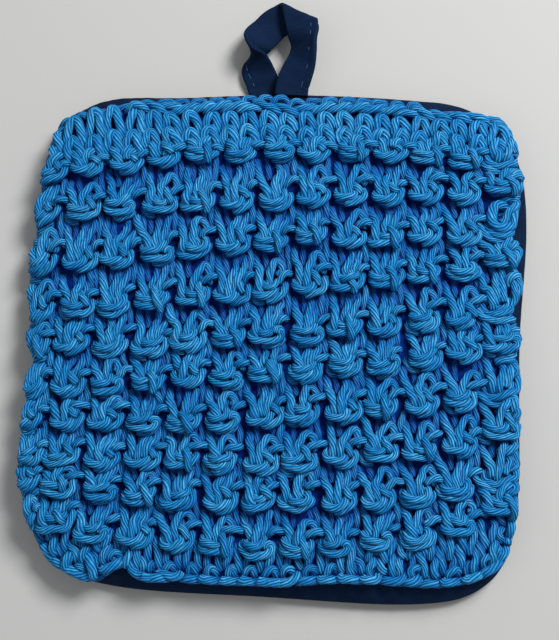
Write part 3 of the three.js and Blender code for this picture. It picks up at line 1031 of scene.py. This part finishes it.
def cloth_finish(name, settings, flow=False):
    """Plain woven cotton, with threads a little proud of the hollows between them."""
    finish = Finish(name, {"Roughness": 0.85, "Specular IOR Level": 0.07})
    if flow:
        place, size = finish.attribute("grain", "Vector"), 1.0
    else:
        place, size = finish.place(), MM
    axes = finish.node("ShaderNodeSeparateXYZ", None, {0: place}).output.node
    x, y = (Socket(finish.tree, axes.outputs[k]) for k in (0, 1))
    pitch = math.pi / (THREAD_PITCH * size)
    weave = (x * pitch).sine() * (y * pitch).sine()
    slub = finish.noise(finish.stretched(place, (1.0, 0.15, 1.0)), 1.2 / size, 2.0)
    cloudy = finish.noise(place, 0.06 / size, 3.0)
    # The weave term darkens the hollows between threads as painted shade; the slub and cloudy
    # noise vary the tone at random.
    mask = (weave * 0.3 + slub * 0.5 + cloudy * 0.6 - 0.1).within()
    colour = finish.mixed(mask, opaque(settings.hollow_tone_and_shade), opaque(settings.thread))
    return finish.feed({"Base Color": colour, "Normal": finish.bump(weave, 0.35, 0.12 * MM)})


# ---- Operators ----

class POTHOLDER_OT_stage(bpy.types.Operator):
    """Make the floor, the light and the camera"""
    bl_idname = "potholder.stage"
    bl_label = "Stage"

    # Millimetres for the camera, metres and watts for the rest.
    EYE = (-2.6, -102.6, 432.1)
    AIM = (0.0, -11.9, 10.0)
    FLOOR_HALF = 1.5
    FLOOR_CELLS = 12
    SKY_COLOUR = (0.94, 0.97, 1.0, 1.0)
    SKY_STRENGTH = 0.40
    # Name, place, size and power.
    LAMPS = (
        ("key", (0.42, 0.36, 0.75), 0.35, 12.0),
        ("fill", (-0.7, -0.5, 0.9), 0.9, 2.0),
    )

    def execute(self, context):
        settings = context.scene.potholder_stage
        scene = context.scene
        data = bpy.data.cameras.new("camera")
        data.lens = settings.lens
        data.sensor_width = 36.0
        data.clip_start = 0.01
        camera = placed("camera", data)
        eye = Vector(self.EYE) * MM
        aim = Vector(self.AIM) * MM
        back = (eye - aim).normalized()
        right = (Vector((1.0, 0.0, 0.0)) - back * back.x).normalized()
        turned = Matrix((right, back.cross(right), back)).transposed()
        camera.location = eye
        camera.rotation_euler = turned.to_euler()
        scene.camera = camera
        scene.view_settings.view_transform = "Standard"

        finish = Finish("pale_floor", {"Roughness": 0.9, "Specular IOR Level": 0.2})
        cloudy = finish.noise(finish.place(), 3.0, 3.0)
        floor_colour = finish.mixed(cloudy * 0.3, opaque(settings.floor),
                                    opaque([c * 0.93 for c in settings.floor]))
        finish.feed({"Base Color": floor_colour})
        mesh = bpy.data.meshes.new("floor")
        count = self.FLOOR_CELLS
        grid = np.linspace(-self.FLOOR_HALF, self.FLOOR_HALF, count + 1)
        corners = [(x, y, 0.0) for y in grid for x in grid]
        faces = [(r * (count + 1) + c, r * (count + 1) + c + 1, (r + 1) * (count + 1) + c + 1,
                  (r + 1) * (count + 1) + c) for r in range(count) for c in range(count)]
        mesh.from_pydata(corners, [], faces)
        mesh.materials.append(finish.material)
        floor = placed("floor", mesh)

        world = bpy.data.worlds.new("studio")
        scene.world = world
        world.use_nodes = True
        sky = world.node_tree.nodes["Background"]
        sky.inputs["Color"].default_value = self.SKY_COLOUR
        sky.inputs["Strength"].default_value = self.SKY_STRENGTH
        for name, place, size, power in self.LAMPS:
            light = bpy.data.lights.new(name, "AREA")
            light.size = size
            light.energy = power
            lamp = placed(name, light)
            lamp.location = place
            lamp.rotation_euler = (-Vector(place)).to_track_quat("-Z", "Y").to_euler()
        return {"FINISHED"}


class POTHOLDER_OT_pad(bpy.types.Operator):
    """Make the filled navy pad"""
    bl_idname = "potholder.pad"
    bl_label = "Backing pad"

    AROUND = 480
    # How far in from the seam each ring of the mesh lies.
    INSIDES = (0.0, 0.25, 0.7, 1.3, 2.2, 3.4, 5.0, 7.0, 9.5, 12, 16, 22, 32, 46, 64, 78)
    # The seam's puckers: waves round the pad, their height, and where they are strongest.
    PUCKER_WAVES = range(60, 100)
    PUCKER_HEIGHT = 0.35
    PUCKER_INSIDE = 2.5
    PUCKER_WIDTH = 3.0
    LEAST_HEIGHT = 0.02

    def execute(self, context):
        material = cloth_finish("navy_pad_cloth", context.scene.potholder_cloth)
        around = self.AROUND
        turn = np.arange(around) * 2 * math.pi / around
        reach = PAD.at(turn)
        rng = np.random.default_rng(5)
        pucker = np.zeros(around)
        for wave in self.PUCKER_WAVES:
            pucker += rng.normal() * np.cos(wave * turn + rng.random() * 6.28) / 6.3
        rings = []
        for side in (-1, 1):
            depths = self.INSIDES[::-1] if side < 0 else self.INSIDES
            for inside in depths:
                radius = reach * (1 - inside / HALF_SIDE)
                fade = math.exp(-((inside - self.PUCKER_INSIDE) / self.PUCKER_WIDTH) ** 2)
                x = PAD_MIDDLE[0] + radius * np.cos(turn)
                y = PAD_MIDDLE[1] + radius * np.sin(turn)
                left = max(0.0, 1 - inside / UNDER_WIDTH)
                if side > 0:
                    z = pad_front(x, y) + 0.4 * (1 - math.exp(-inside * 2))
                else:
                    z = np.full(around, (SEAM_HEIGHT - 0.35) * left ** 3 + self.LEAST_HEIGHT)
                    if inside == 0.0:
                        z = z * 0 + SEAM_HEIGHT - 0.15
                z = z + side * pucker * self.PUCKER_HEIGHT * fade
                rings.append(np.column_stack([x, y, np.maximum(z, self.LEAST_HEIGHT)]))
        corners, faces = loft(rings)
        pad = make_object("backing_pad_cloth", corners, faces, material)
        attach(pad, "root")
        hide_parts("backing_pad")
        return {"FINISHED"}


class POTHOLDER_OT_knit(bpy.types.Operator):
    """Make the knit panel: its ground and its yarn"""
    bl_idname = "potholder.knit"
    bl_label = "Knit panel"

    ROUNDS = 40
    # The share of two yarns' thickness that they may press into each other.
    PRESSED = 0.2
    GROUND_CELLS = 150
    GROUND_INSET = 2.6
    RIDGE_PITCH = 3.3
    RIDGE_HEIGHT = 1.1

    def execute(self, context):
        settings = context.scene.potholder_yarn
        rng = np.random.default_rng(21)
        skein = Skein(settings.radius / MM)
        lay_knots(skein, rng)
        lay_band(skein, rng)
        lay_chain(skein, rng)
        lay_foot(skein, rng)
        lay_edge(skein, rng)
        skein.settle(self.ROUNDS, self.PRESSED)
        material = yarn_finish(settings)
        for group in sorted({s["group"] for s in skein.strands}):
            corners, faces, values = skein.mesh(group, settings.plies, settings.twist / MM, rng)
            piece = make_object(group, corners, faces, material, values)
            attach(piece, "root")
        ground = self.ground()
        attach(ground, "root")
        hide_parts("knit_panel")
        return {"FINISHED"}

    def ground(self):
        """The panel's back: rows of yarn that show between the knots, coloured in painted deep
        shade.
        """
        count = self.GROUND_CELLS
        across, up = np.meshgrid(np.linspace(-1, 1, count), np.linspace(-1, 1, count))
        turn = np.arctan2(up, across)
        reach = (knit_reach(turn) - self.GROUND_INSET) * np.maximum(abs(across), abs(up))
        x = (PAD_MIDDLE[0] + reach * np.cos(turn)).ravel()
        y = (PAD_MIDDLE[1] + reach * np.sin(turn)).ravel()
        wave = 0.7 * np.sin(x * 2 * math.pi / (COLUMN_PITCH / 2) + np.sin(y * 0.3) * 2)
        row = (y + wave) / self.RIDGE_PITCH
        part = 2 * (row - np.floor(row)) - 1
        height = self.RIDGE_HEIGHT * np.sqrt(np.clip(1 - part ** 2, 0, 1))
        front = np.column_stack([x, y, pad_front(x, y) + 0.9 + height])
        back = np.column_stack([x, y, pad_front(x, y) + 0.5])
        index = np.arange(count * count).reshape(count, count)
        faces = np.stack([index[:-1, :-1], index[:-1, 1:], index[1:, 1:], index[1:, :-1]],
                         -1).reshape(-1, 4)
        rim = np.concatenate([index[0, :-1], index[:-1, -1], index[-1, :0:-1], index[:0:-1, 0]])
        beside = np.roll(rim, -1)
        lower = len(front)
        edge = np.stack([rim, rim + lower, beside + lower, beside], -1)
        faces = np.vstack([faces, faces[:, ::-1] + lower, edge]).tolist()
        flow = np.column_stack([x, row * 3, np.zeros(len(x))])
        finish = Finish("painted_shade_ground", {"Roughness": 0.9, "Specular IOR Level": 0.05})
        grain = finish.attribute("grain", "Vector")
        fibre = finish.noise(finish.stretched(grain, (0.5, 2.0, 1.0)), 1.0, 3.0)
        shade = (fibre * 2.4 - 0.7).within()
        # Both colours are the yarn's blue darkened as painted shade; the fibre noise mixes them at
        # random.
        colour = finish.mixed(shade, (0.0003, 0.008, 0.080, 1), (0.0006, 0.018, 0.160, 1))
        finish.feed({"Base Color": colour, "Normal": finish.bump(fibre, 0.5, 0.4 * MM)})
        return make_object("knit_ground", np.vstack([front, back]), faces, finish.material,
                           {"grain": np.vstack([flow, flow])})


class POTHOLDER_OT_loop(bpy.types.Operator):
    """Make the tape of the hanging loop and its topstitching"""
    bl_idname = "potholder.loop"
    bl_label = "Hanging loop"

    STITCH_SIDE = -0.55
    STITCH_LENGTH = 2.4
    STITCH_PITCH = 3.1
    SUNK_SHARE = 0.35
    THREAD_RADIUS = 0.17

    def execute(self, context):
        tape = Tape()
        half = TAPE_THICKNESS / 2
        face = np.linspace(-0.97, 0.9, 17)
        dent = 1 - 0.30 * np.exp(-((face - self.STITCH_SIDE) / 0.07) ** 2)
        bend = np.radians(np.linspace(75, -75, 7))
        side = np.concatenate([face, 0.9 + 0.14 * np.cos(bend), face[::-1],
                               [-1.0, -0.985, -0.90, -0.985, -1.0]])
        height = np.concatenate([half * dent, half * np.sin(bend), -half * dent[::-1],
                                 [-half * 0.6, -half * 0.2, 0.0, half * 0.2, half * 0.6]])
        steps = 190
        t = np.linspace(0, 1, steps)[:, None]
        ripple = 0.10 * np.sin(t * 71 + side * 2.1) + 0.08 * np.sin(t * 43 - side * 3.4)
        rings = tape.raised(t + 0 * side, side + 0 * t, height + ripple)
        rings = [ring[::-1] for ring in rings]
        corners, faces = loft(rings)
        flow = np.column_stack([np.repeat(t[:, 0] * 78, len(side)),
                                np.tile(side[::-1] * TAPE_WIDTH / 2, steps),
                                np.zeros(len(side) * steps)])
        flow = np.vstack([flow, flow[:1], flow[-1:]])
        material = cloth_finish("navy_tape_cloth", context.scene.potholder_cloth, flow=True)
        loop = make_object("hanging_loop_tape", corners, faces, material, {"grain": flow})
        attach(loop, "root")
        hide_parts("hanging_loop")
        stitches = self.stitches(tape, context.scene.potholder_cloth)
        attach(stitches, "root")
        return {"FINISHED"}

    def stitches(self, tape, settings):
        """Short straight stitches along the tape's open edge, on one face. Some are sunk in it."""
        fine = np.linspace(0.0, 1.0, 800)
        line = tape.surface(fine, np.full(800, self.STITCH_SIDE))
        along = np.concatenate([[0], np.cumsum(np.linalg.norm(np.diff(line, axis=0), axis=1))])
        rng = np.random.default_rng(9)
        corners, faces = [], []
        turn = np.arange(6) * math.pi / 3
        rise = np.sin(np.linspace(0, math.pi, 7)) ** 0.5 * 0.22 + TAPE_THICKNESS * 0.33
        start = 1.0
        while start + self.STITCH_LENGTH < along[-1] - 1:
            length = self.STITCH_LENGTH * rng.uniform(0.5, 1.0)
            if rng.random() >= self.SUNK_SHARE:
                t = np.interp(np.linspace(start, start + length, 7), along, fine)
                route = tape.raised(t, np.full(7, self.STITCH_SIDE), rise)
                _, normal, across = rotation_frames(route)
                rings = [p + self.THREAD_RADIUS * (np.outer(np.cos(turn), n)
                                                   + np.outer(np.sin(turn), a))
                         for p, n, a in zip(route, normal, across)]
                body, skin = loft(rings)
                base = sum(len(c) for c in corners)
                corners.append(body)
                faces += [[i + base for i in f] for f in skin]
            start += self.STITCH_PITCH
        finish = Finish("navy_thread", {"Roughness": 0.6, "Specular IOR Level": 0.4})
        # Painted highlight: the noise makes random flecks of the thread up to three times lighter.
        shade = finish.noise(finish.place(), 3000.0, 2.0)
        colour = finish.mixed(shade, opaque(settings.thread),
                              opaque([c * 3 for c in settings.thread]))
        finish.feed({"Base Color": colour})
        return make_object("hanging_loop_topstitch", np.vstack(corners), faces, finish.material)


class POTHOLDER_PT_panel(bpy.types.Panel):
    """The potholder's pieces"""
    bl_idname = "POTHOLDER_PT_panel"
    bl_label = "Potholder"
    bl_space_type = "VIEW_3D"
    bl_region_type = "UI"
    bl_category = "Potholder"

    def draw(self, context):
        for operator in MAKERS:
            self.layout.operator(operator.bl_idname)
        for group in (context.scene.potholder_yarn, context.scene.potholder_cloth,
                      context.scene.potholder_stage):
            box = self.layout.box()
            for label in group.bl_rna.properties.keys()[2:]:
                box.prop(group, label)


SETTINGS = (YarnSettings, ClothSettings, StageSettings)
MAKERS = (POTHOLDER_OT_stage, POTHOLDER_OT_pad, POTHOLDER_OT_knit, POTHOLDER_OT_loop)


def register():
    for item in (*SETTINGS, *MAKERS, POTHOLDER_PT_panel):
        bpy.utils.register_class(item)
    bpy.types.Scene.potholder_yarn = bpy.props.PointerProperty(type=YarnSettings)
    bpy.types.Scene.potholder_cloth = bpy.props.PointerProperty(type=ClothSettings)
    bpy.types.Scene.potholder_stage = bpy.props.PointerProperty(type=StageSettings)


def unregister():
    del bpy.types.Scene.potholder_stage
    del bpy.types.Scene.potholder_cloth
    del bpy.types.Scene.potholder_yarn
    for item in (POTHOLDER_PT_panel, *reversed(MAKERS), *reversed(SETTINGS)):
        bpy.utils.unregister_class(item)


def main():
    register()
    bpy.ops.potholder.stage()
    bpy.ops.potholder.pad()
    bpy.ops.potholder.knit()
    bpy.ops.potholder.loop()


if __name__ == "__main__":
    main()
